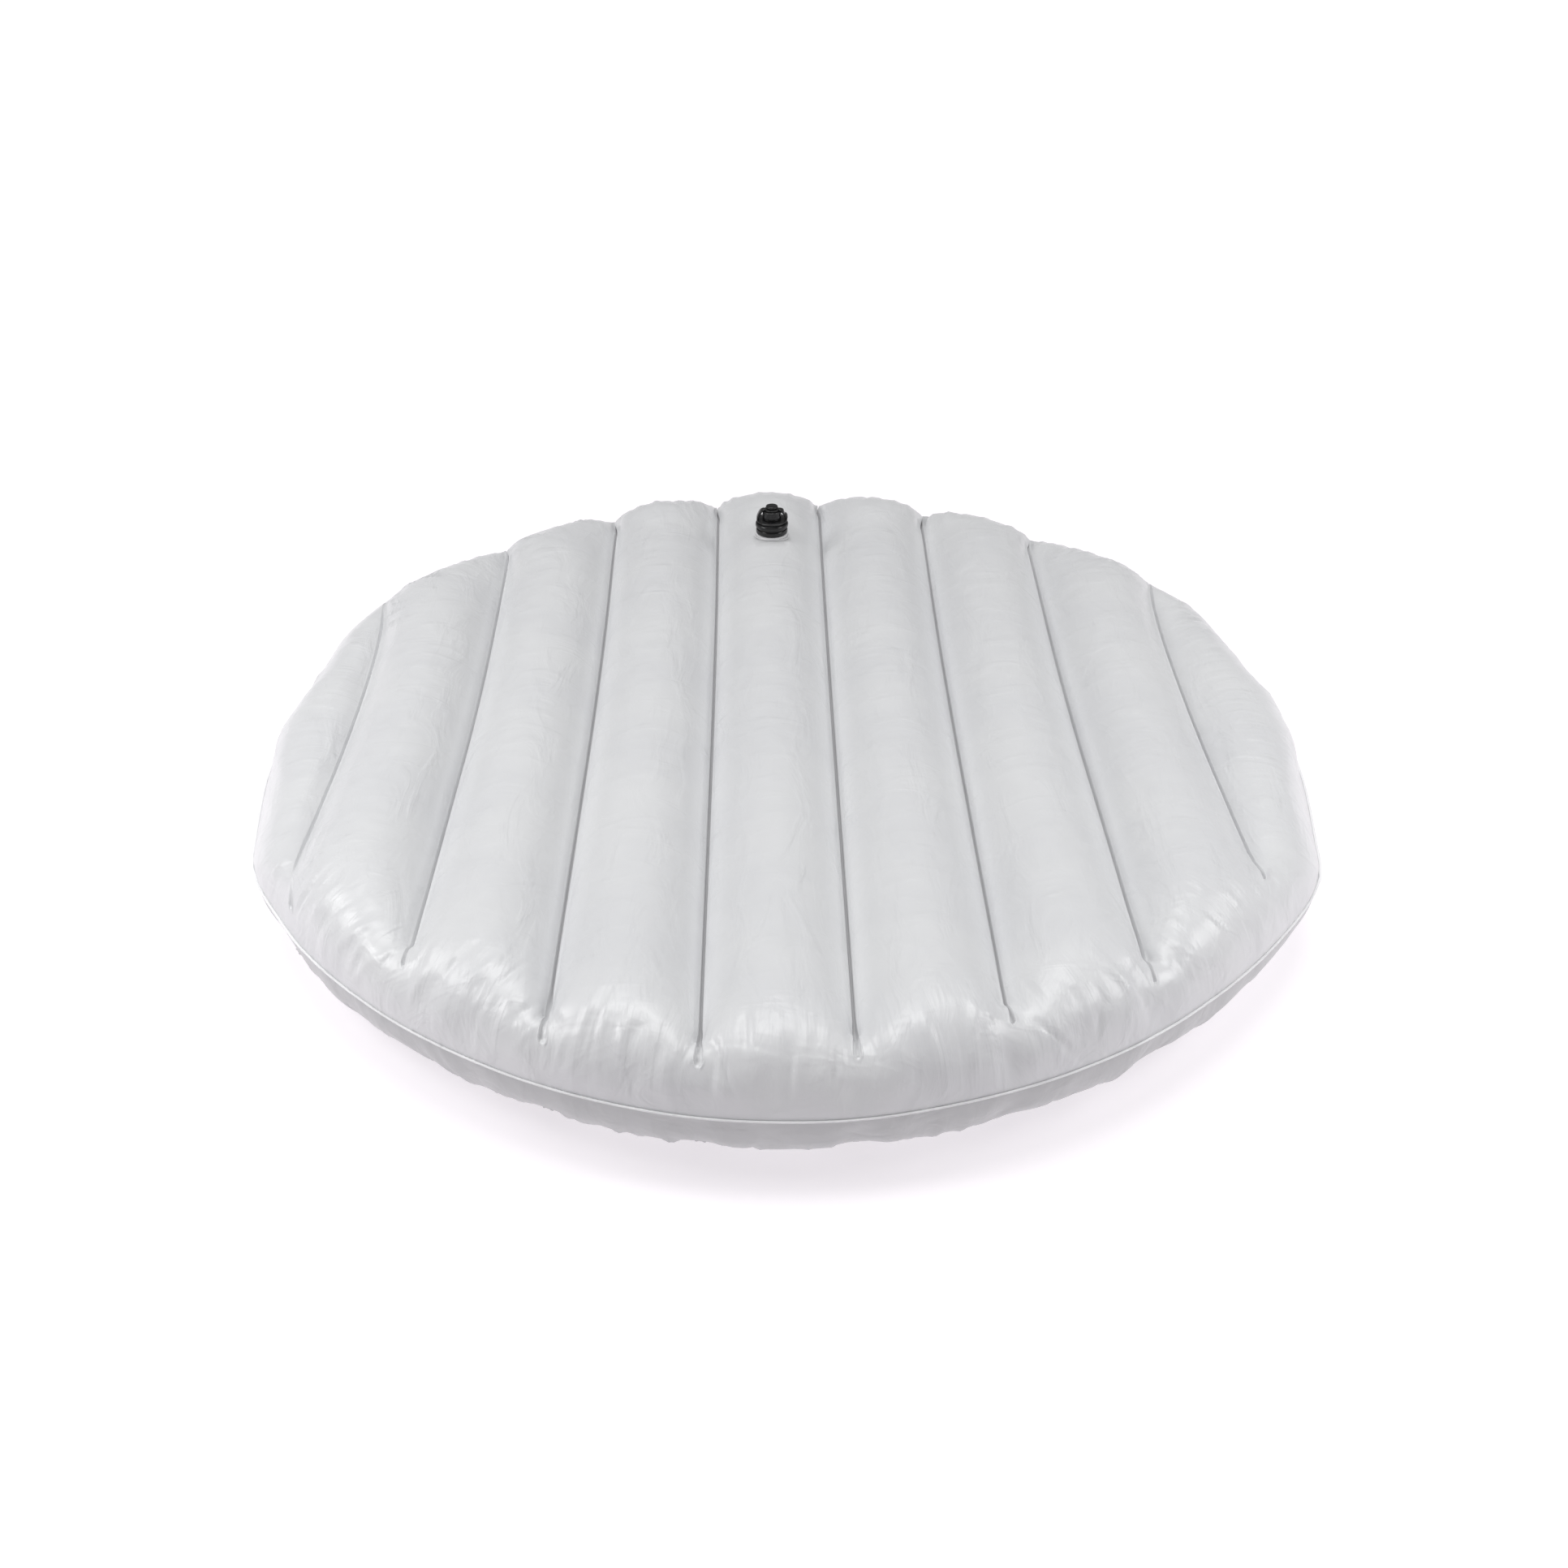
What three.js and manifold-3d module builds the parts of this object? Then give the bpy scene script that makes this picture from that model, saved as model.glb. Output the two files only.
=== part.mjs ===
// Inflated cover insert of an inflatable spa: a round air cushion with nine parallel chambers and a
// two-stage screw valve. Millimetres, +Z up, chambers along Y, origin under the middle of the outline.
import * as THREE from 'three';
import { mergeVertices } from 'three/addons/utils/BufferGeometryUtils.js';
import Module from 'manifold-3d';

const wasm = await Module();
wasm.setup();

// ---- Cushion ----
const CHAMBERS = 9;
const PITCH = 150; // weld line to weld line, inflated
const WELD_SHIFT = -15; // the weld lines lie a little off the middle of the outline
const HALF_WIDTH = 644; // rim seam, across the chambers
const HALF_LENGTH = 692; // rim seam, along the chambers
const WEB_HEIGHT = 101; // top weld line to bottom weld line
const CROWN = 43; // rise of a chamber's arc above its weld lines
const FILM = 0.45; // PVC film thickness
const LIP = 6; // welded lip outside the rim seam
const GAP = 0.3; // clearance between separate pieces that touch
const SHOULDER_WEB = 85; // distance over which the weld lines roll down to the rim
const SHOULDER_CROWN = 150; // distance over which the crowns roll down to the rim
const RIM_BULGE = 0.55; // crown of the two rim chambers, as a share of CROWN
const WELD_FLANGE = 10; // width of a web's weld flange
const FLAT = 0.15; // half width of a chamber's flat, in pitches
const ARC_STOPS = [-0.5, -0.33, -FLAT, FLAT, 0.33, 0.5]; // across one chamber, in pitches
const ROW_STOPS = [-1, -0.975, -0.93, -0.86, -0.75, -0.4, 0, 0.4, 0.75, 0.86, 0.93, 0.975, 1];
const WELD_INSET = 30; // a weld line stops at least this far inside the rim
const WEB_CLEARANCE = 1.5; // between a web's flange and the film, which slopes beside the weld line
const RIM_STEPS = 5; // columns across each rim chamber

const MEAN_RADIUS = (HALF_WIDTH + HALF_LENGTH) / 2;
const OUTER_WELD = (CHAMBERS / 2 - 1) * PITCH; // first and last weld line, from the middle one
const FLAT_RISE = CROWN * (1 - 4 * FLAT * FLAT);
const SEAM_Z = GAP / 2 + FILM + WEB_HEIGHT / 2 + FLAT_RISE;

// ---- Valve, heights from the top of its collar ----
const VALVE_X = -12;
const VALVE_Y = 472;
const COLLAR_RISE = 3; // collar above the film
const VALVE_Z = 2 * SEAM_Z + COLLAR_RISE;
const COLLAR_R = 23;
const SKIRT_R = 38;
const SOCKET_BORE_R = 16.9;
const GRIP_R = 23.8;
const NECK_R = 11.2;
const BORE_R = 8;
const WELL_R = 13.5; // wider air way below the bore
const GRID_Z = -11; // underside of the flap's seat
const GRID_THICK = 2;
const WINDOW_COUNT = 4;
const CAP_R = 13.4;
const BUTTON_R = 8.65;
const ROUND = 32; // segments of a visible turned piece
const ROUND_SMALL = 20; // segments of a small or hidden one

// ---- Materials ----
const FINISH = {
  film: { color: 0xd6d7d9, roughness: 0.36, metalness: 0 },
  collar: { color: 0xe4e4e6, roughness: 0.4, metalness: 0 },
  hard_black: { color: 0x141416, roughness: 0.22, metalness: 0 },
  soft_black: { color: 0x1b1b1d, roughness: 0.38, metalness: 0 },
  seal: { color: 0x0f0f10, roughness: 0.55, metalness: 0 },
};

const cushion = new THREE.Group();
const valve = new THREE.Group();
valve.position.set(VALVE_X, VALVE_Y, VALVE_Z);

function addPart(group, name, geometry, finish) {
  const mesh = new THREE.Mesh(geometry, new THREE.MeshStandardMaterial(FINISH[finish]));
  mesh.name = name;
  group.add(mesh);
}

// ---- Solids ----
function toSolid(geometry) {
  const bare = geometry.clone();
  bare.deleteAttribute('normal');
  bare.deleteAttribute('uv');
  const merged = mergeVertices(bare, 1e-3);
  const vertProperties = new Float32Array(merged.attributes.position.array);
  const triVerts = new Uint32Array(merged.index.array);
  return new wasm.Manifold(new wasm.Mesh({ numProp: 3, vertProperties, triVerts }));
}

function toGeometry(solid) {
  const mesh = solid.getMesh();
  const geometry = new THREE.BufferGeometry();
  geometry.setAttribute('position', new THREE.BufferAttribute(mesh.vertProperties, 3));
  geometry.setIndex(new THREE.BufferAttribute(mesh.triVerts, 1));
  return geometry;
}

function unite(...geometries) {
  return toGeometry(geometries.map(toSolid).reduce((sum, next) => sum.add(next)));
}

function cut(geometry, tools) {
  return toGeometry(tools.map(toSolid).reduce((rest, tool) => rest.subtract(tool), toSolid(geometry)));
}

// A turned piece: its profile is a list of [radius, height], closed on itself or on the axis.
function turned(profile, segments = ROUND) {
  const closed = profile[0][0] > 0 ? [...profile, profile[0]] : profile;
  const lathe = new THREE.LatheGeometry(closed.map(([r, z]) => new THREE.Vector2(r, z)), segments);
  return lathe.rotateX(Math.PI / 2);
}

function plug(radius, bottom, top, segments = ROUND) {
  const height = top - bottom;
  const cylinder = new THREE.CylinderGeometry(radius, radius, height, segments);
  return cylinder.rotateX(Math.PI / 2).translate(0, 0, bottom + height / 2);
}

// A flat strap: a thin rectangle carried along a smooth path in the XZ plane.
function strap(points, width, thickness, steps) {
  const path = new THREE.CatmullRomCurve3(points.map(([x, z]) => new THREE.Vector3(x, 0, z)));
  const section = new THREE.Shape();
  section.moveTo(-width / 2, -thickness / 2);
  section.lineTo(width / 2, -thickness / 2);
  section.lineTo(width / 2, thickness / 2);
  section.lineTo(-width / 2, thickness / 2);
  section.closePath();
  return new THREE.ExtrudeGeometry(section, { steps, bevelEnabled: false, extrudePath: path });
}

// ---- Surface of the inflated film ----
function endLength(x) {
  return HALF_LENGTH * Math.sqrt(Math.max(0, 1 - (x / HALF_WIDTH) ** 2));
}

function roll(distance, width) {
  const t = Math.min(1, Math.max(0, distance / width));
  return Math.sqrt(1 - (1 - t) ** 2);
}

function crownShare(x) {
  const fromWelds = x - WELD_SHIFT;
  if (Math.abs(fromWelds) > OUTER_WELD) {
    const rim = HALF_WIDTH - Math.sign(fromWelds) * WELD_SHIFT;
    const t = (Math.abs(fromWelds) - OUTER_WELD) / (rim - OUTER_WELD);
    return RIM_BULGE * Math.sin(Math.PI * Math.min(1, t));
  }
  const u = fromWelds / PITCH - Math.round(fromWelds / PITCH);
  return Math.min(1 - 4 * u * u, 1 - 4 * FLAT * FLAT);
}

function rimDistance(x, y) {
  return (1 - Math.hypot(x / HALF_WIDTH, y / HALF_LENGTH)) * MEAN_RADIUS;
}

// Height of the film's outer face above the seam plane.
function lift(x, y) {
  const distance = rimDistance(x, y);
  const web = (WEB_HEIGHT / 2) * roll(distance, SHOULDER_WEB);
  return web + CROWN * crownShare(x) * roll(distance, SHOULDER_CROWN);
}

function liftNormal(x, y) {
  const step = 1;
  const dx = (lift(x + step, y) - lift(x - step, y)) / (2 * step);
  const dy = (lift(x, y + step) - lift(x, y - step)) / (2 * step);
  return new THREE.Vector3(-dx, -dy, 1).normalize();
}

function columnPlaces() {
  const places = [];
  const firstAngle = Math.asin((OUTER_WELD - WELD_SHIFT) / HALF_WIDTH);
  const lastAngle = Math.asin((OUTER_WELD + WELD_SHIFT) / HALF_WIDTH);
  for (let i = 0; i < RIM_STEPS; i += 1) {
    const angle = Math.PI / 2 + ((firstAngle - Math.PI / 2) * i) / RIM_STEPS;
    places.push(-HALF_WIDTH * Math.sin(angle));
  }
  for (let chamber = 1; chamber < CHAMBERS - 1; chamber += 1) {
    const middle = WELD_SHIFT + (chamber - (CHAMBERS - 1) / 2) * PITCH;
    ARC_STOPS.slice(0, -1).forEach((u) => places.push(middle + u * PITCH));
  }
  for (let i = 0; i <= RIM_STEPS; i += 1) {
    const angle = lastAngle + ((Math.PI / 2 - lastAngle) * i) / RIM_STEPS;
    places.push(HALF_WIDTH * Math.sin(angle));
  }
  return places;
}

// One sheet of film as a closed thin shell: outer face, inner face and the flat welded lip.
function filmSheet(side) {
  const columns = columnPlaces();
  const last = columns.length - 1;
  const rows = ROW_STOPS.length;
  const position = [];
  const index = [];
  const add = (x, y, height) => position.push(x, y, SEAM_Z + side * (GAP / 2 + height)) / 3 - 1;
  const face = (a, b, c) => index.push(...(side > 0 ? [a, b, c] : [a, c, b]));
  const quad = (a, b, c, d) => {
    if (a !== b && b !== c && c !== a) face(a, b, c);
    if (a !== c && c !== d && d !== a) face(a, c, d);
  };
  const grid = (inner) => columns.map((x, i) => {
    const stops = i === 0 || i === last ? [0] : ROW_STOPS;
    const made = stops.map((v) => {
      const y = v * endLength(x);
      const onRim = stops.length === 1 || Math.abs(v) === 1;
      if (!inner) return add(x, y, FILM + (onRim ? 0 : lift(x, y)));
      if (onRim) return add(x * (1 - FILM / HALF_WIDTH), y * (1 - FILM / HALF_LENGTH), 0);
      const normal = liftNormal(x, y);
      return add(x - normal.x * FILM, y - normal.y * FILM, FILM + lift(x, y) - normal.z * FILM);
    });
    return made.length === 1 ? Array(rows).fill(made[0]) : made;
  });
  const outer = grid(false);
  const inner = grid(true);
  for (let i = 0; i < last; i += 1) {
    for (let j = 0; j < rows - 1; j += 1) {
      quad(outer[i][j], outer[i + 1][j], outer[i + 1][j + 1], outer[i][j + 1]);
      quad(inner[i][j], inner[i][j + 1], inner[i + 1][j + 1], inner[i + 1][j]);
    }
  }
  const front = columns.map((x, i) => [i, 0]);
  const back = columns.map((x, i) => [i, rows - 1]).slice(1, -1).reverse();
  const rim = [...front, ...back].map(([i, j]) => {
    const x = columns[i];
    const y = i === 0 || i === last ? 0 : ROW_STOPS[j] * endLength(x);
    const out = new THREE.Vector2(x / HALF_WIDTH ** 2, y / HALF_LENGTH ** 2).setLength(LIP);
    const upper = add(x + out.x, y + out.y, FILM);
    const lower = add(x + out.x, y + out.y, 0);
    return { outer: outer[i][j], inner: inner[i][j], upper, lower };
  });
  rim.forEach((here, n) => {
    const next = rim[(n + 1) % rim.length];
    quad(here.upper, next.upper, next.outer, here.outer);
    quad(here.lower, next.lower, next.upper, here.upper);
    quad(here.inner, next.inner, next.lower, here.lower);
  });
  const sheet = new THREE.BufferGeometry();
  sheet.setAttribute('position', new THREE.Float32BufferAttribute(position, 3));
  sheet.setIndex(index);
  return sheet;
}

// An inner strip with a weld flange along its top and bottom edge, as high as the weld lines leave.
function web(line) {
  const x = WELD_SHIFT + (line - CHAMBERS / 2) * PITCH;
  const half = WELD_FLANGE / 2;
  const skin = FILM / 2;
  const stops = ROW_STOPS.filter((v) => rimDistance(x, v * endLength(x)) > WELD_INSET);
  const sections = stops.map((v) => {
    const y = v * endLength(x);
    const top = Math.min(...[x - half, x, x + half].map((px) => lift(px, y))) - WEB_CLEARANCE;
    const under = top - FILM;
    return [
      [-half, top], [-half, under], [-skin, under], [-skin, -under], [-half, -under], [-half, -top],
      [half, -top], [half, -under], [skin, -under], [skin, under], [half, under], [half, top],
    ].map(([dx, dz]) => [x + dx, y, SEAM_Z + dz]);
  });
  const corners = sections[0].length;
  const index = [];
  for (let s = 0; s < sections.length - 1; s += 1) {
    for (let c = 0; c < corners; c += 1) {
      const a = s * corners + c;
      const b = s * corners + ((c + 1) % corners);
      index.push(a, b + corners, b, a, a + corners, b + corners);
    }
  }
  const outline = sections[0].map(([px, , pz]) => new THREE.Vector2(px, pz));
  const end = (sections.length - 1) * corners;
  THREE.ShapeUtils.triangulateShape(outline, []).forEach(([a, b, c]) => {
    index.push(a, b, c, end + a, end + c, end + b);
  });
  const strip = new THREE.BufferGeometry();
  strip.setAttribute('position', new THREE.Float32BufferAttribute(sections.flat(2), 3));
  strip.setIndex(index);
  return strip;
}

// ---- Valve pieces ----
function valveCollar() {
  const film = -COLLAR_RISE - FILM;
  // the skirt lies inside the film, which falls away from the crown: lower at the edge than at the neck
  const neckDrop = 4.8;
  const drop = 11.6;
  const skirt = 1.4;
  return turned([
    [19.6, 0], [19.6, -16], [22, -16], [22, film - neckDrop - skirt], [SKIRT_R, film - drop - skirt],
    [SKIRT_R, film - drop], [COLLAR_R, film - neckDrop], [COLLAR_R, -0.8], [22.2, 0],
  ]);
}

function valveSocket() {
  return turned([
    [SOCKET_BORE_R, -14], [19.3, -14], [19.3, GAP], [21.6, GAP], [22.9, 2],
    [22.9, 5.8], [21.6, 7.5], [SOCKET_BORE_R, 7.5],
  ]);
}

function bodyTether() {
  const ring = turned([[19.6, 7.8], [23.2, 7.8], [23.2, 9.2], [19.6, 9.2]]);
  const arm = new THREE.BoxGeometry(4.2, 7, 1.4).translate(23.9, 0, 8.5);
  const tab = new THREE.BoxGeometry(1.6, 7, 7.4).translate(25.2, 0, 11.5);
  return unite(ring, arm, tab).rotateZ(Math.PI / 5);
}

function bodySeal() {
  return turned([[17.3, 7.8], [18.9, 7.8], [19.3, 8.5], [18.9, 9.3], [17.3, 9.3]], ROUND_SMALL);
}

function valveBody() {
  const gridTop = GRID_Z + GRID_THICK;
  const shell = turned([
    [0, GRID_Z], [16.6, GRID_Z], [16.6, 9.6], [22.6, 9.6], [GRIP_R, 11], [GRIP_R, 16.2],
    [22.4, 18], [NECK_R, 18], [NECK_R, 30.4], [10.6, 31], [BORE_R, 31],
    [BORE_R, 10], [WELL_R, 3], [WELL_R, gridTop], [0, gridTop],
  ]);
  const stemHole = plug(1.7, GRID_Z - 1, gridTop + 1, ROUND_SMALL);
  const windows = Array.from({ length: WINDOW_COUNT }, (unused, n) => {
    const sector = new THREE.Shape();
    const start = 0.2;
    const end = (2 * Math.PI) / WINDOW_COUNT - start;
    sector.absarc(0, 0, 12, start, end, false);
    sector.absarc(0, 0, 5, end, start, true);
    const window = new THREE.ExtrudeGeometry(sector, {
      depth: GRID_THICK + 2, bevelEnabled: false, curveSegments: 5,
    });
    return window.rotateZ((n * 2 * Math.PI) / WINDOW_COUNT).translate(0, 0, GRID_Z - 1);
  });
  return cut(shell, [stemHole, ...windows]);
}

function checkFlap() {
  const top = GRID_Z - GAP;
  return turned([[0, top - 1.4], [3, top - 1.4], [14, top - 0.8], [14, top], [0, top]], ROUND_SMALL);
}

function flapStem() {
  return turned([
    [0, GRID_Z], [1.3, GRID_Z], [1.3, -5.6], [2.6, -5.6], [2.2, -4.4], [0, -4.2],
  ], ROUND_SMALL);
}

function capTetherRing() {
  return turned([[11.6, 18.3], [21.6, 18.3], [22.4, 19.3], [21.6, 20.4], [11.6, 20.4]]);
}

function leftStrap() {
  return strap([[-11.2, 35.6], [-15.5, 34.4], [-18.8, 30], [-20.6, 25], [-20.4, 20.7]], 5, 1.8, 9);
}

function rightStrap() {
  return strap([[11.2, 35.6], [15.2, 34], [16.6, 30], [19.4, 26], [20.6, 23], [20.4, 20.7]], 5, 1.8, 9);
}

function valveCap() {
  return turned([
    [0, 32.8], [11.5, 32.8], [11.5, 20.8], [12.9, 20.8], [CAP_R, 22.2], [CAP_R, 31], [12.4, 34],
    [7, 34], [6.9, 37.3], [BUTTON_R, 38.1], [BUTTON_R, 39.8], [7, 41], [0, 41.4],
  ]);
}

function capLoop() {
  return turned([[7.3, 34.4], [10.2, 34.4], [10.7, 35.5], [10.2, 36.8], [7.3, 36.8]], ROUND_SMALL);
}

function capSeal() {
  return turned([[8.2, 31.3], [10.9, 31.3], [10.9, 32.5], [8.2, 32.5]], ROUND_SMALL);
}

// ---- Assembly ----
const valveHole = plug(COLLAR_R + GAP, VALVE_Z - 25, VALVE_Z + 5);
valveHole.translate(VALVE_X, VALVE_Y, 0);
addPart(cushion, 'top_sheet', cut(filmSheet(1), [valveHole]), 'film');
addPart(cushion, 'bottom_sheet', filmSheet(-1), 'film');
for (let line = 1; line < CHAMBERS; line += 1) {
  addPart(cushion, `web_${line}`, web(line), 'film');
}
addPart(valve, 'valve_collar', valveCollar(), 'collar');
addPart(valve, 'valve_socket', valveSocket(), 'hard_black');
addPart(valve, 'body_tether', bodyTether(), 'soft_black');
addPart(valve, 'body_seal', bodySeal(), 'seal');
addPart(valve, 'valve_body', valveBody(), 'hard_black');
addPart(valve, 'check_flap', checkFlap(), 'seal');
addPart(valve, 'flap_stem', flapStem(), 'soft_black');
addPart(valve, 'cap_tether', capTetherRing(), 'soft_black');
addPart(valve, 'cap_strap_left', leftStrap(), 'soft_black');
addPart(valve, 'cap_strap_right', rightStrap(), 'soft_black');
addPart(valve, 'valve_cap', valveCap(), 'hard_black');
addPart(valve, 'cap_loop', capLoop(), 'soft_black');
addPart(valve, 'cap_seal', capSeal(), 'seal');

const insert = new THREE.Group();
insert.add(cushion, valve);

export default insert;
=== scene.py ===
# Looks of the inflatable spa cover insert: a round air cushion with nine chambers and a screw valve.
# Metres, +Z up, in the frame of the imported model.
import math
from collections import namedtuple

import bmesh
import bpy
import numpy as np
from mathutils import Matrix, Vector
from mathutils.bvhtree import BVHTree


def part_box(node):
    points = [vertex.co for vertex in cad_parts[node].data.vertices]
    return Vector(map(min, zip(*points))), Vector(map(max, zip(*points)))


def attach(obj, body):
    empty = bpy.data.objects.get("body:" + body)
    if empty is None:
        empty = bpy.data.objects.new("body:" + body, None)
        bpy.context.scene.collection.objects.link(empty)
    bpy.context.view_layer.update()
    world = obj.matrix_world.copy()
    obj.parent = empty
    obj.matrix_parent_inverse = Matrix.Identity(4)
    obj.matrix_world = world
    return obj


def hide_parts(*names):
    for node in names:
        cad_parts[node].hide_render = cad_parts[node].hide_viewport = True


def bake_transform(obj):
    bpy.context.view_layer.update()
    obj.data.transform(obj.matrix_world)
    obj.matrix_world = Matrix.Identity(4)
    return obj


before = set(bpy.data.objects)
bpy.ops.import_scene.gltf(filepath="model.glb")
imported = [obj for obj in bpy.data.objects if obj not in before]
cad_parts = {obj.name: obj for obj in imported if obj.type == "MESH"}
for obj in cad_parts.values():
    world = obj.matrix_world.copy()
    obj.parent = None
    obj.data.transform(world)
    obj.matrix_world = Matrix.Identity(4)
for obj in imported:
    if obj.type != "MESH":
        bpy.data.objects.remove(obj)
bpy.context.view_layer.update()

MM = 0.001

# ---- Camera ----
CAMERA_PLACE = (-0.0295, -2.0744, 1.3352)
CAMERA_PITCH = 31.87  # degrees below the horizon
CAMERA_TURN = 0.79  # degrees towards +X
CAMERA_LENS = 43.79  # millimetres
CAMERA_SENSOR = 36  # millimetres, its width


def placed(name, data):
    """A new object in the scene."""
    made = bpy.data.objects.new(name, data)
    bpy.context.scene.collection.objects.link(made)
    return made


def make_camera():
    camera = placed("camera", bpy.data.cameras.new("camera"))
    camera.data.sensor_width = CAMERA_SENSOR
    camera.data.lens = CAMERA_LENS
    camera.data.clip_start = 0.05
    camera.data.clip_end = 100
    camera.location = CAMERA_PLACE
    camera.rotation_euler = (math.radians(90 - CAMERA_PITCH), 0, math.radians(-CAMERA_TURN))
    bpy.context.scene.camera = camera


make_camera()

# ---- The flat cut of the film, before it is inflated, in metres ----
CHAMBERS = 9
WELDS = CHAMBERS - 1
FLAT_PITCH = 0.1685  # weld line to weld line
FLAT_HALF_WIDTH = 0.745
FLAT_HALF_LENGTH = 0.712
MEAN_RADIUS = (FLAT_HALF_WIDTH + FLAT_HALF_LENGTH) / 2
OUTLINE_POWER = 1.92  # the outline is a superellipse of this power
FLAT_SHIFT = -0.018  # the weld lines lie a little off the middle of the cut
WELD_BAND = 0.006  # width of a weld
WEB_HEIGHT = 0.100  # length of the inner webs, top weld to bottom weld
NEAR_INSET = (0.028, 0.064, 0.050, 0.055, 0.066, 0.074, 0.058, 0.062)  # rim to a weld's near end
FAR_INSET = 0.035  # rim to a weld's far end
END_CROWDING = 0.3  # how much closer the grid's rows lie at the rim
CORNER_SHARE = 0.62  # a rim chamber's grid has its corners at this share of its weld ends' angle
FIRST_RISE = 0.004  # at the start each film's middle stands this far off the middle plane

# Grids from coarse to fine: cells across a chamber, cells across a rim chamber, rows, steps,
# constraint passes in a step, bending stiffness, stiffness in compression, pressure, rim stiffness.
LEVELS = (
    (5, 5, 51, 250, 6, 0.0, 0.3, 2e-3, 0.3),
    (5, 5, 51, 150, 8, 0.0, 0.3, 3e-4, 0.3),
    (10, 10, 101, 200, 8, 0.01, 0.25, 3e-4, 0.3),
    (20, 20, 201, 150, 8, 0.02, 0.2, 1e-4, 0.4),
)
DAMPING = 0.9
SHEAR_SHARE = 0.6  # how firmly the diagonals keep their length, against 1 along the grid
CENTRING = 0.25  # how firmly a web keeps one weld above the other


def inwards(flat):
    """How far in each point of the cut lies, from 0 at the rim to 1 in the middle."""
    return 1 - np.hypot(flat[..., 0] / FLAT_HALF_WIDTH, flat[..., 1] / FLAT_HALF_LENGTH)


def rim_distance(flat):
    """About how far each point of the cut lies from its rim."""
    return inwards(flat) * MEAN_RADIUS


def weld_x(line):
    """Where a weld's middle lies across the cut."""
    return (line + 1 - CHAMBERS / 2) * FLAT_PITCH + FLAT_SHIFT


def weld_end(line, inset):
    """How far along the weld from the cut's middle it ends, at that distance from the rim."""
    reach = 1 - inset / MEAN_RADIUS
    return FLAT_HALF_LENGTH * math.sqrt(reach**2 - (weld_x(line) / FLAT_HALF_WIDTH) ** 2)


def rim_end(x):
    """Half the cut's length at x."""
    share = np.maximum(1 - (np.abs(x) / FLAT_HALF_WIDTH) ** OUTLINE_POWER, 0)
    return FLAT_HALF_LENGTH * share ** (1 / OUTLINE_POWER)


def rim_point(angle):
    """The cut's edge at an angle from the X axis, within a quarter turn of it."""
    x = FLAT_HALF_WIDTH * np.cos(angle) ** (2 / OUTLINE_POWER)
    y = FLAT_HALF_LENGTH * np.sign(angle) * np.abs(np.sin(angle)) ** (2 / OUTLINE_POWER)
    return np.stack([x, y], -1)


def rim_chamber(x, cells, rows):
    """Flat grid from the column at x out to the rim: straight lines blend into the rim's arc."""
    weld_angle = np.arccos((abs(x) / FLAT_HALF_WIDTH) ** (OUTLINE_POWER / 2))
    corner_angle = CORNER_SHARE * weld_angle
    up = (rows[:, None] + 1) / 2
    inner = np.stack([np.full(len(rows), abs(x)), rim_end(x) * rows], -1)
    outer = rim_point(corner_angle * rows)
    columns = []
    for step in range(1, cells + 1):
        out = step / cells
        far = rim_point(weld_angle + (corner_angle - weld_angle) * out)
        straight = (1 - out) * inner + out * outer
        ends = (1 - up) * far * (1, -1) + up * far
        corners = (1 - up) * straight[0] + up * straight[-1]
        columns.append(straight + ends - corners)
    return np.array(columns) * (np.sign(x), 1)


def flat_grid(cells, rim_cells, row_count):
    """The cut's grid, with columns along the welds, and the first of each weld's two columns."""
    spread = np.linspace(-1, 1, row_count)
    rows = spread * (1 + END_CROWDING - END_CROWDING * spread**2)
    places = []
    bands = []
    for line in range(WELDS):
        weld = weld_x(line)
        bands.append(rim_cells + len(places))
        places += [weld - WELD_BAND / 2, weld + WELD_BAND / 2]
        if line < WELDS - 1:
            chamber = np.linspace(weld + WELD_BAND / 2, weld + FLAT_PITCH - WELD_BAND / 2, cells + 1)
            places += list(chamber[1:-1])
    x = np.array(places)
    middle = np.stack([np.repeat(x[:, None], row_count, 1), rim_end(x)[:, None] * rows], -1)
    left = rim_chamber(x[0], rim_cells, rows)[::-1]
    right = rim_chamber(x[-1], rim_cells, rows)
    return np.concatenate([left, middle, right]), bands


def rim_loop(columns, rows):
    """The grid's rim as one loop of places, counter-clockwise seen from above."""
    near = [(i, 0) for i in range(columns)]
    right = [(columns - 1, j) for j in range(1, rows)]
    far = [(i, rows - 1) for i in range(columns - 2, -1, -1)]
    left = [(0, j) for j in range(rows - 2, 0, -1)]
    return np.array(near + right + far + left).T


def pull(a, b, rest, tight, slack):
    """Moves a and b towards their rest distance, by the share tight if too far and slack if too near."""
    a = a[:, : b.shape[1], : b.shape[2]]
    apart = b - a
    length = np.sqrt((apart * apart).sum(-1)) + 1e-9
    error = (length - rest[: b.shape[1], : b.shape[2]]) / length * 0.5
    move = np.where(error > 0, error * tight, error * slack)[..., None] * apart
    a += move
    b -= move


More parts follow.
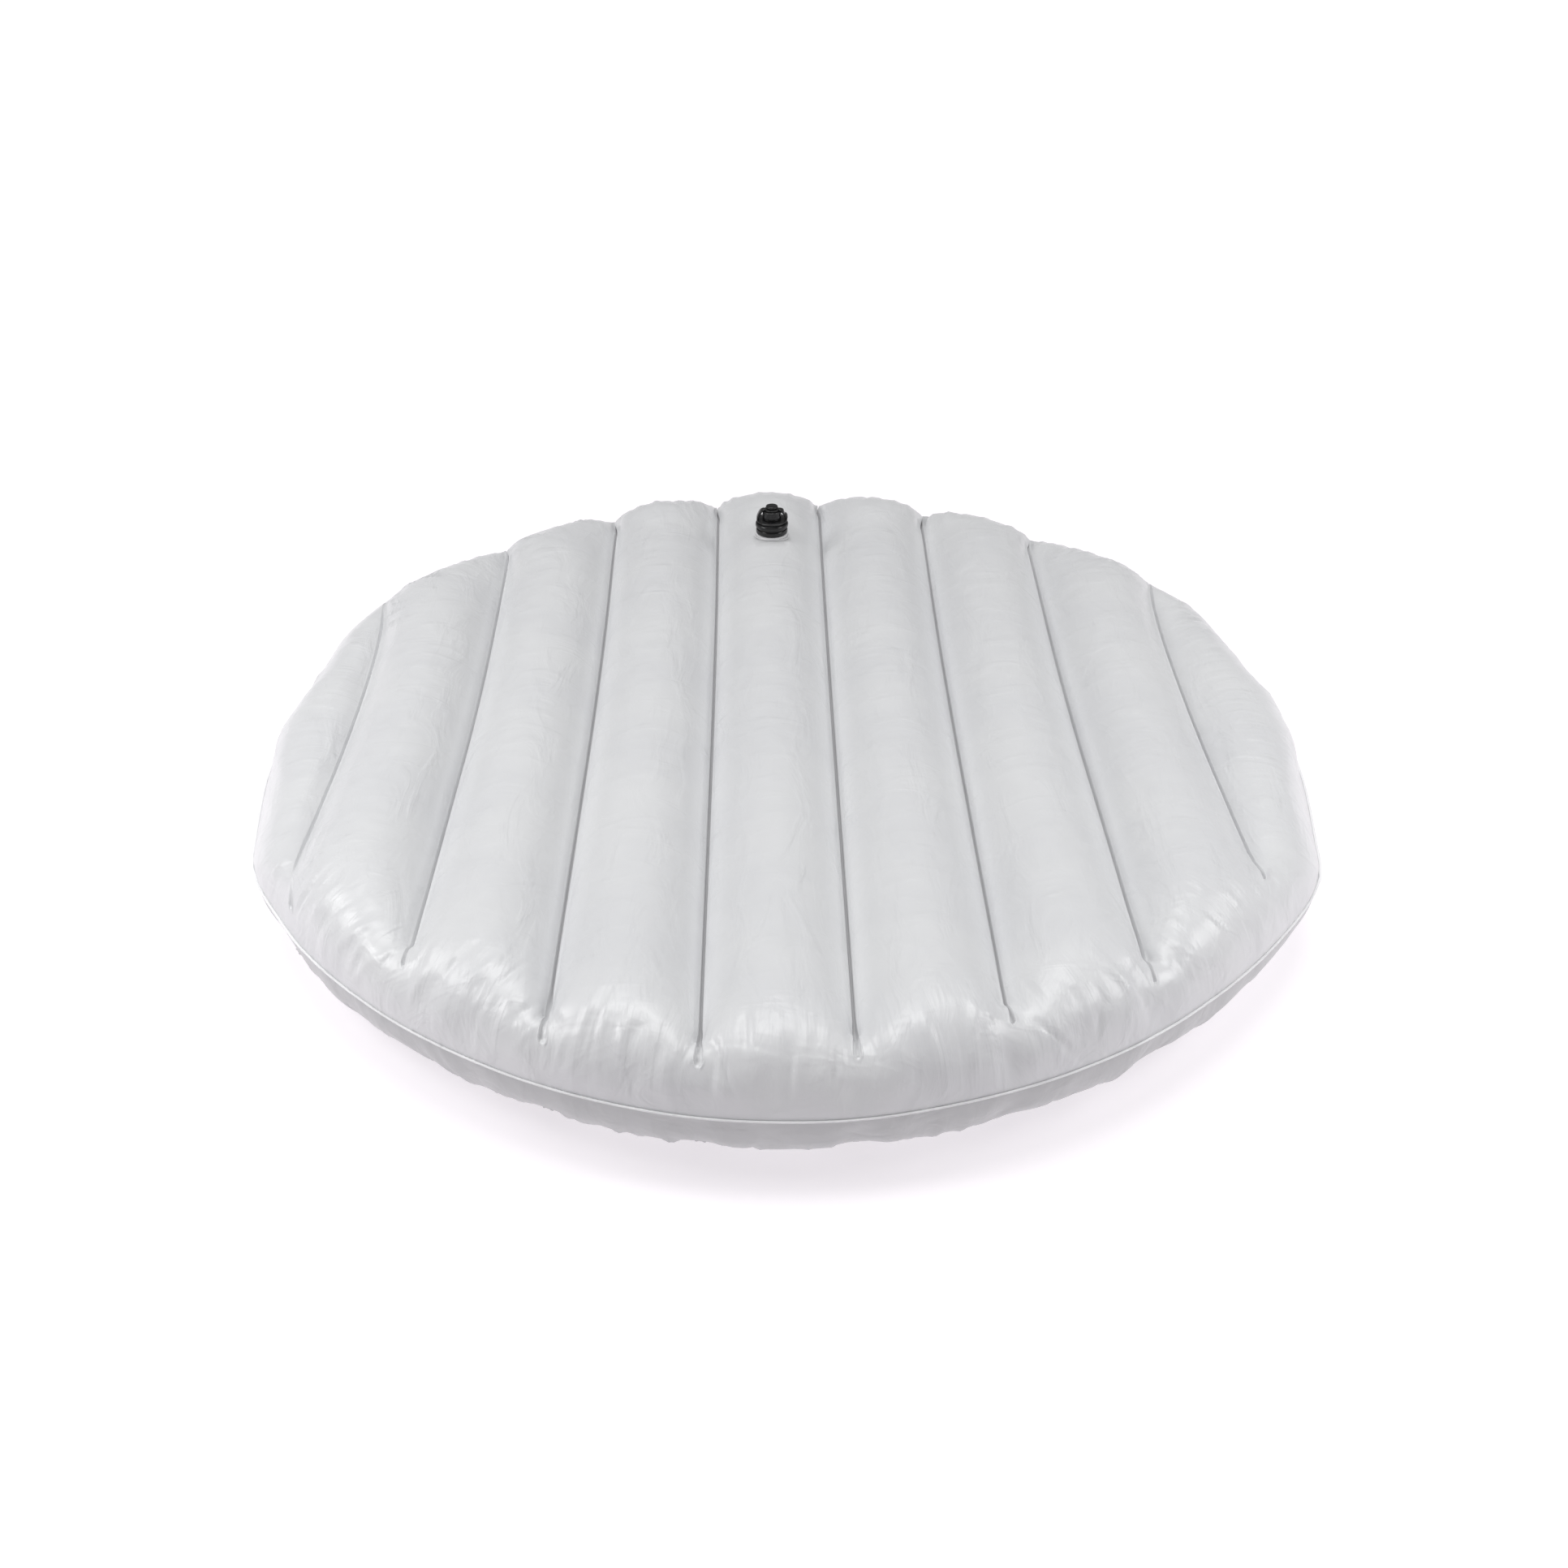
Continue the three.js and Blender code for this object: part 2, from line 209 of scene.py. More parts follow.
class Film:
    """Top and bottom film as one grid of points each, joined at the rim and tied by the webs."""

    def __init__(self, flat, bands, points, bend, slack, rim_stiffness):
        self.bend = bend
        self.slack = slack
        self.rim_stiffness = rim_stiffness
        self.rim = rim_loop(*flat.shape[:2])
        self.bands = bands
        if points is None:
            points = np.zeros((2, *flat.shape[:2], 3))
            points[..., :2] = flat
            points[0, ..., 2] = FIRST_RISE * inwards(flat)
            points[1, ..., 2] = -FIRST_RISE * inwards(flat)
        self.points = points.astype(np.float32)
        self.speed = np.zeros_like(self.points)
        flat = flat.astype(np.float32)
        self.across = np.linalg.norm(flat[1:] - flat[:-1], axis=-1)
        self.along = np.linalg.norm(flat[:, 1:] - flat[:, :-1], axis=-1)
        self.diagonal = np.linalg.norm(flat[1:, 1:] - flat[:-1, :-1], axis=-1)
        self.other_diagonal = np.linalg.norm(flat[1:, :-1] - flat[:-1, 1:], axis=-1)
        self.mass = np.float32(self.across.mean() * self.along.mean())
        inside = rim_distance(flat)
        self.welds = []
        for line, band in enumerate(bands):
            inset = np.where(flat[band, :, 1] < 0, NEAR_INSET[line], FAR_INSET)
            self.welds.append((inside[band] > inset) & (inside[band + 1] > inset))

    def area_vectors(self):
        """Each point's share of the area round it, as a vector pointing out of the cushion."""
        p = self.points
        cell = np.cross(p[:, 1:, 1:] - p[:, :-1, :-1], p[:, :-1, 1:] - p[:, 1:, :-1]) / 8
        cell[1] *= -1
        share = np.zeros_like(p)
        share[:, 1:, 1:] += cell
        share[:, :-1, :-1] += cell
        share[:, 1:, :-1] += cell
        share[:, :-1, 1:] += cell
        return share

    def keep_lengths(self, p):
        for odd in (0, 1):
            pull(p[:, odd:-1:2], p[:, odd + 1 :: 2], self.across[odd::2], 1, self.slack)
            pull(p[:, :, odd:-1:2], p[:, :, odd + 1 :: 2], self.along[:, odd::2], 1, self.slack)
            a, b = p[:, odd:-1:2, :-1], p[:, odd + 1 :: 2, 1:]
            pull(a, b, self.diagonal[odd::2], SHEAR_SHARE, self.slack / 2)
            a, b = p[:, odd:-1:2, 1:], p[:, odd + 1 :: 2, :-1]
            pull(a, b, self.other_diagonal[odd::2], SHEAR_SHARE, self.slack / 2)

    def resist_bending(self, p):
        across = (p[:, 2:] + p[:, :-2]) / 2 - p[:, 1:-1]
        for band, held in zip(self.bands, self.welds):
            across[:, band - 1 : band + 1, held] = 0
        along = (p[:, :, 2:] + p[:, :, :-2]) / 2 - p[:, :, 1:-1]
        for lines, bent in ((p, across), (p.swapaxes(1, 2), along.swapaxes(1, 2))):
            lines[:, 1:-1] += bent * self.bend
            lines[:, 2:] -= bent * self.bend / 2
            lines[:, :-2] -= bent * self.bend / 2

    def hold_webs(self, p):
        """A web keeps the two welds no further apart than its height, and one above the other."""
        for band, held in zip(self.bands, self.welds):
            for column in (band, band + 1):
                top, bottom = p[0, column], p[1, column]
                apart = top - bottom
                length = np.sqrt((apart * apart).sum(-1)) + 1e-9
                excess = np.where(held & (length > WEB_HEIGHT), (length - WEB_HEIGHT) / length / 2, 0)
                top -= excess[:, None] * apart
                bottom += excess[:, None] * apart
                aside = (top[:, :2] - bottom[:, :2]) * CENTRING * held[:, None]
                top[:, :2] -= aside
                bottom[:, :2] += aside

    def join_rim(self, p):
        """The welded rim is one line in both films, and stiffer than the film."""
        rim = (p[0, self.rim[0], self.rim[1]] + p[1, self.rim[0], self.rim[1]]) / 2
        rim += ((np.roll(rim, 1, 0) + np.roll(rim, -1, 0)) / 2 - rim) * self.rim_stiffness
        p[:, self.rim[0], self.rim[1]] = rim

    def inflate(self, steps, passes, pressure):
        for _ in range(steps):
            self.speed += self.area_vectors() * (pressure / self.mass)
            self.speed *= DAMPING
            moved = self.points + self.speed
            for _ in range(passes):
                self.keep_lengths(moved)
                if self.bend:
                    self.resist_bending(moved)
                self.hold_webs(moved)
                self.join_rim(moved)
            self.speed = moved - self.points
            self.points = moved


def column_places(cells, rim_cells, coarse_cells, coarse_rim_cells):
    """For each column of a finer grid, where it lies among the columns of a coarser one."""
    places = [step * coarse_rim_cells / rim_cells for step in range(rim_cells)]
    base = coarse_rim_cells
    for line in range(WELDS):
        places += [base, base + 1]
        if line < WELDS - 1:
            places += [base + 1 + step * coarse_cells / cells for step in range(1, cells)]
            base += coarse_cells + 1
    base += 1
    places += [base + step * coarse_rim_cells / rim_cells for step in range(1, rim_cells + 1)]
    return np.array(places)


def between(points, places, axis):
    """The points at fractional places along one axis of the grid."""
    low = np.clip(np.floor(places).astype(int), 0, points.shape[axis] - 2)
    shape = [1] * points.ndim
    shape[axis] = len(places)
    share = (places - low).reshape(shape)
    return np.take(points, low, axis) * (1 - share) + np.take(points, low + 1, axis) * share


def inflated_film():
    """Both films at rest under pressure: points (2, columns, rows, 3), and the welds' columns."""
    points = None
    for level, (cells, rim_cells, rows, steps, passes, bend, slack, pressure, rim) in enumerate(LEVELS):
        flat, bands = flat_grid(cells, rim_cells, rows)
        if level:
            coarse_cells, coarse_rim_cells, coarse_rows = LEVELS[level - 1][:3]
            columns = column_places(cells, rim_cells, coarse_cells, coarse_rim_cells)
            points = between(points, columns, 1)
            points = between(points, np.linspace(0, coarse_rows - 1, rows), 2)
        film = Film(flat, bands, points, bend, slack, rim)
        film.inflate(steps, passes, pressure)
        points = film.points
    return points.astype(float), bands


# ---- Film skins ----
SKIN_CELLS = 44  # cells across a chamber
ROW_SPANS = ((0, 34, 52), (34, 140, 20), (140, 200, 32))  # from solved row, to solved row, skin rows
CAD_LIP = 6 * MM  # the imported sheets' seam, outside the inflated film
FILM_THICK = 0.45 * MM
LIP_WIDTH = 2.6 * MM  # the seam outside the rim
LIP_RINGS = (0.12, 0.6, 1)  # shares of its width
LIP_GAP = 0.12 * MM  # from the rim's middle plane to each film of the seam
RIM_REACH = 8  # points to each side that the rim's direction is averaged over

STEER_FROM = -0.08  # from here towards their near ends the welds are straightened
STEER_FIT = 0.14  # in line with this stretch to each side of there
STEER_SHARE = 0.7
STEER_WIDTH = 0.10  # and the film moves with them out to about this far
CALM_WIDTH = 0.024  # the film is evened out this far round a weld's end
CALM_LENGTH = 0.026
CALM_PASSES = 40
END_ROLL = 0.095  # beyond the welds' ends the chambers merge into one rolled edge this wide
END_PASSES = 70
END_SPAN = 0.1  # the merging fades between two and three times this far from the near or far rim
FAR_RISE = 9 * MM  # the far ends of the chambers stand up by this much
FAR_START = 0.50
FAR_REACH = 0.10

SLIT_HALF = 1.6 * MM  # half width of the crease over a weld
SLIT_DEPTH = 7 * MM
FLOOR_SHARE = 0.8  # the crease's floor takes up this share of it
EDGE_WIDTH = 0.7 * MM  # the crease's edge stands up over this width
EDGE_RISE = 0.15 * MM
SHOULDER = 2.0 * MM
RIDGE = 1.1 * MM  # the edge round a loop stands up this much
RIDGE_WIDTH = 1.4 * MM
LOOP_END = 4 * MM  # a loop rounds off over this length
LOOP_SHALLOW = 0.6  # how much shallower the crease is in an open loop
FULL_LOOP = 4.3 * MM  # half width of a loop that is fully open
END_WALL = 1.5 * MM
FAR_TAPER = 12 * MM
# Half width and length of the loop that each weld's near end opens into.
LOOPS = tuple(
    (half * MM, length * MM)
    for half, length in (
        (2.8, 26), (1.8, 16), (4.3, 92), (4.6, 62), (4.4, 66), (2.4, 24), (1.8, 16), (1.8, 14)
    )
)
CREASE_COLUMNS = 4  # skin columns from a crease's floor to the film beside it
CREASE_SPAN = 8  # skin columns from a crease's floor to the chamber walls beside it
NORMAL_PASSES = 4
CREASE_SHADING = (0.15, 0.4, 0.9, 1, 1, 0.9, 0.6, 0.3)  # how dark the painted shade in each crease is
MOST_OPEN = 0.8  # an open loop's floor keeps the rest of the painted shade
WALL_SHADING = 0.45  # the crease's walls get less painted shade than its floor, but not in an open loop

PUCKERS = 210
PUCKER_PLACE = (0.050, 0.105)  # distance from the rim to a streak's middle
PUCKER_LENGTH = (0.014, 0.034)
PUCKER_WIDTH = (0.0032, 0.0062)
PUCKER_RISE = (1.1 * MM, 3.0 * MM)
PUCKER_LEAN = 0.2
PUCKER_SEEDS = (3, 4)  # of the top and the bottom film
CREASE_CALM = 0.15  # next to a crease the gathers have this share of their height
CALM_COLUMNS = (3, 8)  # and between these columns from its floor they grow to all of it
GATHER_START = 0.045  # the gathers grow to full height this far from the rim
GATHER_FADE = 0.075  # and fade between 1.2 and 2.2 times this far

PRESS = 1.0 * MM  # the floor flattens the underside's crowns by this much
PRESS_REACH = 10 * MM
FLATNESS = 0.15 * MM

# ---- Webs ----
WEB_MARGIN = 4  # rows between a weld's end and its web's
WEB_STATIONS = 48
WEB_FLANGE = 5 * MM
WEB_THICK = 0.4 * MM
WEB_GAP = 0.9 * MM  # from the bottom of a crease to the web
# The web's outline: flanges across, thicknesses up, and whether it is at the upper end.
WEB_SECTION = (
    (-1, 0, 1), (-1, -1, 1), (-0.07, -1.5, 1), (-0.07, 1.5, 0), (-1, 1, 0), (-1, 0, 0),
    (1, 0, 0), (1, 1, 0), (0.07, 1.5, 0), (0.07, -1.5, 1), (1, -1, 1), (1, 0, 1),
)

# ---- Valve ----
VALVE_X = -12 * MM
VALVE_Y = 472 * MM
VALVE_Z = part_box("valve_collar")[1].z
HOLE_RADIUS = 23.7 * MM  # the film's hole, under the collar's flange
FILM_EDGE = 0.4 * MM  # the collar takes the film's height at least this far outside the hole
COLLAR_PROUD = 1.9 * MM  # the collar's top above the film beside it
COLLAR_SPREAD = 45 * MM  # the film rises to the collar from about this far
ROUND = 72  # sides of a turned piece
FILLET_STEPS = 4  # of a rounded corner
ON_AXIS = 1e-6  # a smaller radius is on the valve's axis
TAB_TURN = math.pi / 5  # the body leash's tab, round from +X
STRAP_STEPS = 40
STRAP_SIDES = 20
STRAP_SQUARE = 0.6  # power that squares the strap's oval section


# ---- Materials ----
FILM_LIGHT = (0.72, 0.725, 0.735)
FILM_DARK = (0.69, 0.695, 0.71)
CREASE_SHADE_TONE = (0.52, 0.52, 0.53)  # painted shade that darkens the creases
SEAM_HIGHLIGHT_TONE = (0.93, 0.93, 0.94)  # painted highlight along the seam's lip
UNDER_SHADE_TONE = (0.49, 0.495, 0.50)  # painted shade on the underside's film


class Finish:
    """A procedural material under construction: the Principled shader and short ways to feed it."""

    def __init__(self, name, color, roughness, **inputs):
        self.material = bpy.data.materials.new(name)
        self.material.use_nodes = True
        self.tree = self.material.node_tree
        self.shader = self.tree.nodes["Principled BSDF"]
        self.fill(self.shader, Base_Color=(*color, 1), Roughness=roughness, **inputs)
        self.place = self.tree.nodes.new("ShaderNodeTexCoord").outputs["Object"]
        self.color = None
        self.bump = None

    def feed(self, value, socket):
        """Sets a socket to a number, or links it to another node's output."""
        if isinstance(value, bpy.types.NodeSocket):
            self.tree.links.new(value, socket)
        else:
            socket.default_value = value

    def fill(self, node, **inputs):
        for key, value in inputs.items():
            self.feed(value, node.inputs[key.replace("_", " ")])

    def node(self, kind, output, settings=None, **inputs):
        """A new node's output, its settings made first and its inputs fed then."""
        node = self.tree.nodes.new("ShaderNode" + kind)
        for key, value in (settings or {}).items():
            setattr(node, key, value)
        self.fill(node, **inputs)
        return node.outputs[output]

    def stretched(self, scale, turn=0.0):
        """Object coordinates scaled by a different number along each axis, turned about Z."""
        return self.node("Mapping", "Vector", Scale=scale, Rotation=(0, 0, turn), Vector=self.place)

    def noise(self, scale, detail, place=None, distortion=0.0):
        place = place or self.place
        return self.node("TexNoise", "Fac", Scale=scale, Detail=detail, Distortion=distortion, Vector=place)

    def span(self, value, low, high, start=0.3, end=0.7, easing="SMOOTHSTEP"):
        """value mapped from start..end to low..high."""
        return self.node("MapRange", "Result", {"interpolation_type": easing},
                         From_Min=start, From_Max=end, To_Min=low, To_Max=high, Value=value)

    def attribute(self, name):
        return self.node("Attribute", "Fac", {"attribute_name": name})

    def math(self, operation, *values):
        node = self.tree.nodes.new("ShaderNodeMath")
        node.operation = operation
        for value, socket in zip(values, node.inputs):
            self.feed(value, socket)
        return node.outputs["Value"]

    def product(self, a, b):
        return self.math("MULTIPLY", a, b)

    def round_about(self, around, outward):
        """Coordinates for streaks that run out from the middle: scaled turn round it, and distance."""
        parts = self.tree.nodes.new("ShaderNodeSeparateXYZ")
        self.fill(parts, Vector=self.place)
        x, y, z = (parts.outputs[axis] for axis in "XYZ")
        turn = self.product(self.math("ARCTAN2", y, x), around)
        distance = self.math("SQRT", self.math("ADD", self.product(x, x), self.product(y, y)))
        return self.node("CombineXYZ", "Vector", X=turn, Y=self.product(distance, outward),
                         Z=self.product(z, 4))

    def tint(self, value, dark, light):
        """The base colour, mixed by value from dark, or from what it was before, to light."""
        start = (*dark, 1) if dark else self.color
        self.color = self.node("Mix", "Result", {"data_type": "RGBA"}, A=start, B=(*light, 1), Factor=value)
        self.fill(self.shader, Base_Color=self.color)

    def relief(self, value, height):
        """Adds a bump of that height, in metres, on top of those added before."""
        below = {"Normal": self.bump} if self.bump else {}
        self.bump = self.node("Bump", "Normal", Strength=1.0, Distance=height, Height=value, **below)
        self.fill(self.shader, Normal=self.bump)


def film_finish():
    finish = Finish("pvc_film", FILM_LIGHT, 0.38, IOR=1.5, Coat_Weight=0.16, Coat_Roughness=0.22)
    finish.tint(finish.span(finish.noise(7, 4), 0, 1), FILM_DARK, FILM_LIGHT)
    # Painted shade darkens the creases.
    finish.tint(finish.attribute("crease"), None, CREASE_SHADE_TONE)
    # Painted highlight: the seam's lip is lightened in colour.
    finish.tint(finish.attribute("seam"), None, SEAM_HIGHLIGHT_TONE)
    # Painted shade: the underside's film is darkened in colour.
    finish.tint(finish.attribute("under"), None, UNDER_SHADE_TONE)
    streaks = finish.noise(1, 3, finish.round_about(34, 6), 0.5)
    streaks = finish.product(finish.span(streaks, 0, 1, 0.35, 0.8), finish.attribute("gathers"))
    finish.relief(streaks, 0.9 * MM)
    finish.fill(finish.shader, Roughness=finish.span(finish.noise(40, 5), 0.33, 0.45))
    handled = finish.noise(1, 3, finish.stretched((26, 9, 20), 0.6), 1.2)
    finish.relief(finish.span(handled, 0, 1, 0.35, 0.75), 0.9 * MM)
    crossing = finish.noise(1, 2, finish.stretched((11, 34, 20), -0.5), 0.8)
    finish.relief(finish.span(crossing, 0, 1, 0.4, 0.75), 0.7 * MM)
    finish.relief(finish.noise(900, 2), 0.02 * MM)
    return finish.material


def web_finish():
    finish = Finish("web_film", (0.7, 0.7, 0.71), 0.5)
    finish.tint(finish.span(finish.noise(30, 3), 0, 1), (0.66, 0.66, 0.67), (0.74, 0.74, 0.75))
    finish.relief(finish.noise(1, 1, finish.stretched((20, 700, 700))), 0.05 * MM)
    return finish.material


def collar_finish():
    finish = Finish("collar", (0.76, 0.76, 0.775), 0.32, IOR=1.5)
    finish.tint(finish.span(finish.noise(60, 3), 0, 1), (0.73, 0.73, 0.745), (0.79, 0.79, 0.8))
    finish.fill(finish.shader, Roughness=finish.span(finish.noise(200, 3), 0.28, 0.4))
    finish.relief(finish.noise(1500, 1), 0.01 * MM)
    return finish.material


def black_finish(name, value, rough, grain):
    finish = Finish(name, (value,) * 3, rough[0], IOR=1.5)
    light = tuple(1.5 * value + extra for extra in (0, 0, 0.001))
    finish.tint(finish.span(finish.noise(120, 4), 0, 1), (value,) * 3, light)
    finish.fill(finish.shader, Roughness=finish.span(finish.noise(260, 4), *rough))
    finish.relief(finish.noise(1800, 2), grain)
    return finish.material


FINISHES = {
    "film": film_finish(),
    "web_film": web_finish(),
    "collar": collar_finish(),
    "hard_black": black_finish("hard_black", 0.010, (0.13, 0.24), 0.010 * MM),
    "soft_black": black_finish("soft_black", 0.013, (0.26, 0.38), 0.02 * MM),
    "seal": black_finish("seal", 0.012, (0.45, 0.6), 0.02 * MM),
}


# ---- Meshes ----
def mesh_object(name, vertices, faces, material, smooth=True):
    mesh = bpy.data.meshes.new(name)
    mesh.from_pydata([tuple(v) for v in vertices], [], [tuple(f) for f in faces])
    mesh.materials.append(material)
    if smooth:
        mesh.shade_smooth()
    return placed(name, mesh)


def piece(name, vertices, faces, finish, body, nodes, smooth=True, closed=True):
    """A piece of the object, in its finish, that stands for CAD nodes of one body."""
    made = mesh_object(name, vertices, faces, FINISHES[finish], smooth)
    if closed:
        mesh = bmesh.new()
        mesh.from_mesh(made.data)
        bmesh.ops.recalc_face_normals(mesh, faces=mesh.faces)
        mesh.to_mesh(made.data)
        mesh.free()
    if body:
        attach(made, body)
    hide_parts(*nodes)
    return made


def tube(rings):
    """Faces between closed rings of points of equal length, from the first ring to the last."""
    faces = []
    for a, b in zip(rings[:-1], rings[1:]):
        faces += zip(a, np.roll(a, -1), np.roll(b, -1), b)
    return [tuple(int(v) for v in face) for face in faces]


def capped_tube(rings):
    """Faces of a tube and of its two ends."""
    return tube(rings) + [tuple(int(v) for v in end) for end in (rings[0][::-1], rings[-1])]


def ease(share):
    """Goes smoothly from 0 to 1 with the share, and stays there beyond them."""
    share = np.clip(share, 0, 1)
    return share * share * (3 - 2 * share)


# ---- The solved film on a finer grid, with creases at the welds and puckers at the rim ----
def curve(a, b, c, d, t):
    """Smooth curve through a, b, c and d, at share t of the way from b to c."""
    return b + t / 2 * (c - a + t * (2 * a - 5 * b + 4 * c - d + t * (3 * (b - c) + d - a)))


def along_curve(pick, places, last):
    """What pick gives at whole places from 0 to last, at fractional places on the smooth curve through it."""
    low = np.clip(np.floor(places).astype(int), 0, last - 1)
    share = (places - low)[..., None]
    return curve(*(pick(np.clip(low + step, 0, last)) for step in (-1, 0, 1, 2)), share)


def finer_rows(points):
    """Points at the skin's rows, which lie closest at the ends of the chambers."""
    spans = [np.linspace(start, end, count, endpoint=False) for start, end, count in ROW_SPANS]
    places = np.concatenate([*spans, [ROW_SPANS[-1][1]]])
    return along_curve(lambda row: points[:, :, row], places, points.shape[2] - 1)


def finer_columns(points, places):
    """Points at columns whose places differ from row to row."""
    rows = np.arange(points.shape[2])[None]
    return along_curve(lambda column: points[:, column, rows], places, points.shape[1] - 1)


def weld_span(line, flat, band):
    """Each row's distance along the weld from its near end and from its far end, on the flat cut."""
    y = (flat[band, :, 1] + flat[band + 1, :, 1]) / 2
    return y + weld_end(line, NEAR_INSET[line]), weld_end(line, FAR_INSET) - y


def crease_shape(line, near, far):
    """The crease over a weld, row by row: half width, depth, height of its raised edge and of its end lip."""
    loop_half, loop_length = LOOPS[line]
    width_share = min(1, loop_half / FULL_LOOP)
    opened = ease(1 - (near - LOOP_END) / (loop_length - LOOP_END)) * ease(1 + near / LOOP_END)
    rounding = np.sqrt(1 - (1 - np.clip(near / LOOP_END, 0, 1)) ** 2)
    half = (SLIT_HALF + (loop_half - SLIT_HALF) * opened) * (0.5 + 0.5 * rounding)
    depth = SLIT_DEPTH * np.clip(near / END_WALL, 0, 1) * ease(far / FAR_TAPER)
    depth *= 1 - LOOP_SHALLOW * opened * width_share
    edge = EDGE_RISE + (RIDGE - EDGE_RISE) * opened
    edge *= ease((near + RIDGE_WIDTH) / RIDGE_WIDTH) * ease(far / FAR_TAPER)
    lip = RIDGE * np.exp(-(((near + RIDGE_WIDTH) / RIDGE_WIDTH) ** 2)) * (near <= 0)
    return half, depth, edge, lip * width_share


def steered_welds(film, flat, bands):
    """The welds run straight on to their near ends instead of flaring out to the rim."""
    y = flat[..., 1]
    for band in bands:
        line = film[:, band : band + 2].mean((0, 1))
        x, place = line[:, 0], flat[band, :, 1]
        middle = np.abs(place - STEER_FROM) < STEER_FIT
        slope, start = np.polyfit(place[middle], x[middle], 1)
        ahead = np.minimum(place - STEER_FROM, 0)
        drift = (start + slope * place - x) * ease(-ahead / STEER_FIT) * STEER_SHARE
        near = np.abs(flat[..., 0] - flat[band, :, 0].mean()) / STEER_WIDTH
        film[..., 0] += np.interp(y, place, drift) * np.exp(-(near**2))
    return film


def calm_weld_ends(film, flat):
    """Evens out the film round the ends of the welds, where the solved folds cross."""
    share = np.zeros(flat.shape[:2])
    for line, near_inset in enumerate(NEAR_INSET):
        across = (flat[..., 0] - weld_x(line)) / CALM_WIDTH
        for end in (-weld_end(line, near_inset), weld_end(line, FAR_INSET)):
            apart = np.hypot(across, (flat[..., 1] - end) / CALM_LENGTH)
            share = np.maximum(share, np.exp(-(apart**4)))
    for _ in range(CALM_PASSES):
        mean = film[:, :-2, 1:-1] + film[:, 2:, 1:-1] + film[:, 1:-1, :-2] + film[:, 1:-1, 2:]
        film[:, 1:-1, 1:-1] += (mean / 4 - film[:, 1:-1, 1:-1]) * share[1:-1, 1:-1, None]
    return film


def rolled_ends(film, flat):
    """Merges the chambers beyond the ends of their welds, and raises their far ends."""
    inside = rim_distance(flat)
    near = np.linalg.norm(flat - flat[:, :1], axis=-1)
    far = np.linalg.norm(flat - flat[:, -1:], axis=-1)
    share = ease(1 - inside / END_ROLL) * ease(3 - np.minimum(near, far) / END_SPAN)
    smooth = film.copy()
    for _ in range(END_PASSES):
        smooth[:, 1:-1] = smooth[:, 1:-1] / 2 + (smooth[:, :-2] + smooth[:, 2:]) / 4
    film = film + (smooth - film) * share[..., None]
    chamber = (flat[..., 0] - FLAT_SHIFT) / FLAT_PITCH + CHAMBERS / 2
    swell = np.abs(np.sin(math.pi * chamber)) * ease((film[0, ..., 1] - FAR_START) / FAR_REACH)
    film[0, ..., 2] += FAR_RISE * swell * (1 - share) * ease(inside / END_ROLL)
    return film


def grid_normals(points):
    across = np.gradient(points, axis=0)
    along = np.gradient(points, axis=1)
    normal = np.cross(across, along)
    return normal / (np.linalg.norm(normal, axis=-1)[..., None] + 1e-12)


def pucker_height(flat, seed):
    """Streaks that run in from the rim, where the flat film gathers as it swells."""
    random = np.random.default_rng(seed)
    inside = rim_distance(flat)
    turn = np.arctan2(flat[..., 1] / FLAT_HALF_LENGTH, flat[..., 0] / FLAT_HALF_WIDTH)
    height = np.zeros(inside.shape)
    spots = (np.arange(PUCKERS) + random.uniform(-0.4, 0.4, PUCKERS)) / PUCKERS * 2 * math.pi - math.pi
    for spot in spots:
        place = random.uniform(*PUCKER_PLACE)
        length = random.uniform(*PUCKER_LENGTH)
        width = random.uniform(*PUCKER_WIDTH)
        rise = random.uniform(*PUCKER_RISE) * random.choice((-1, 1, 1))
        lean = random.normal(0, PUCKER_LEAN)
        off = (turn - spot + math.pi) % (2 * math.pi) - math.pi
        off = off * MEAN_RADIUS - lean * (inside - place)
        height += rise * np.exp(-((off / width) ** 2) - ((inside - place) / length) ** 2)
    return height


def crease_normal(points, floor):
    """The direction out of the film along a crease, from the chamber walls on both sides of it."""
    left, right = points[floor - CREASE_SPAN], points[floor + CREASE_SPAN]
    middle = (left + right) / 2
    along = np.gradient(middle, axis=0)
    normal = np.cross(right - left, along)
    normal /= np.linalg.norm(normal, axis=-1)[:, None]
    for _ in range(NORMAL_PASSES):
        normal[1:-1] = normal[1:-1] / 2 + (normal[:-2] + normal[2:]) / 4
    return normal / np.linalg.norm(normal, axis=-1)[:, None]


# One crease of the skins: its floor's column, and row by row its depth, the heights of its edge and
# end lip, how far it opens into a loop, and whether the weld is under it.
Crease = namedtuple("Crease", "floor depth edge lip opened held")


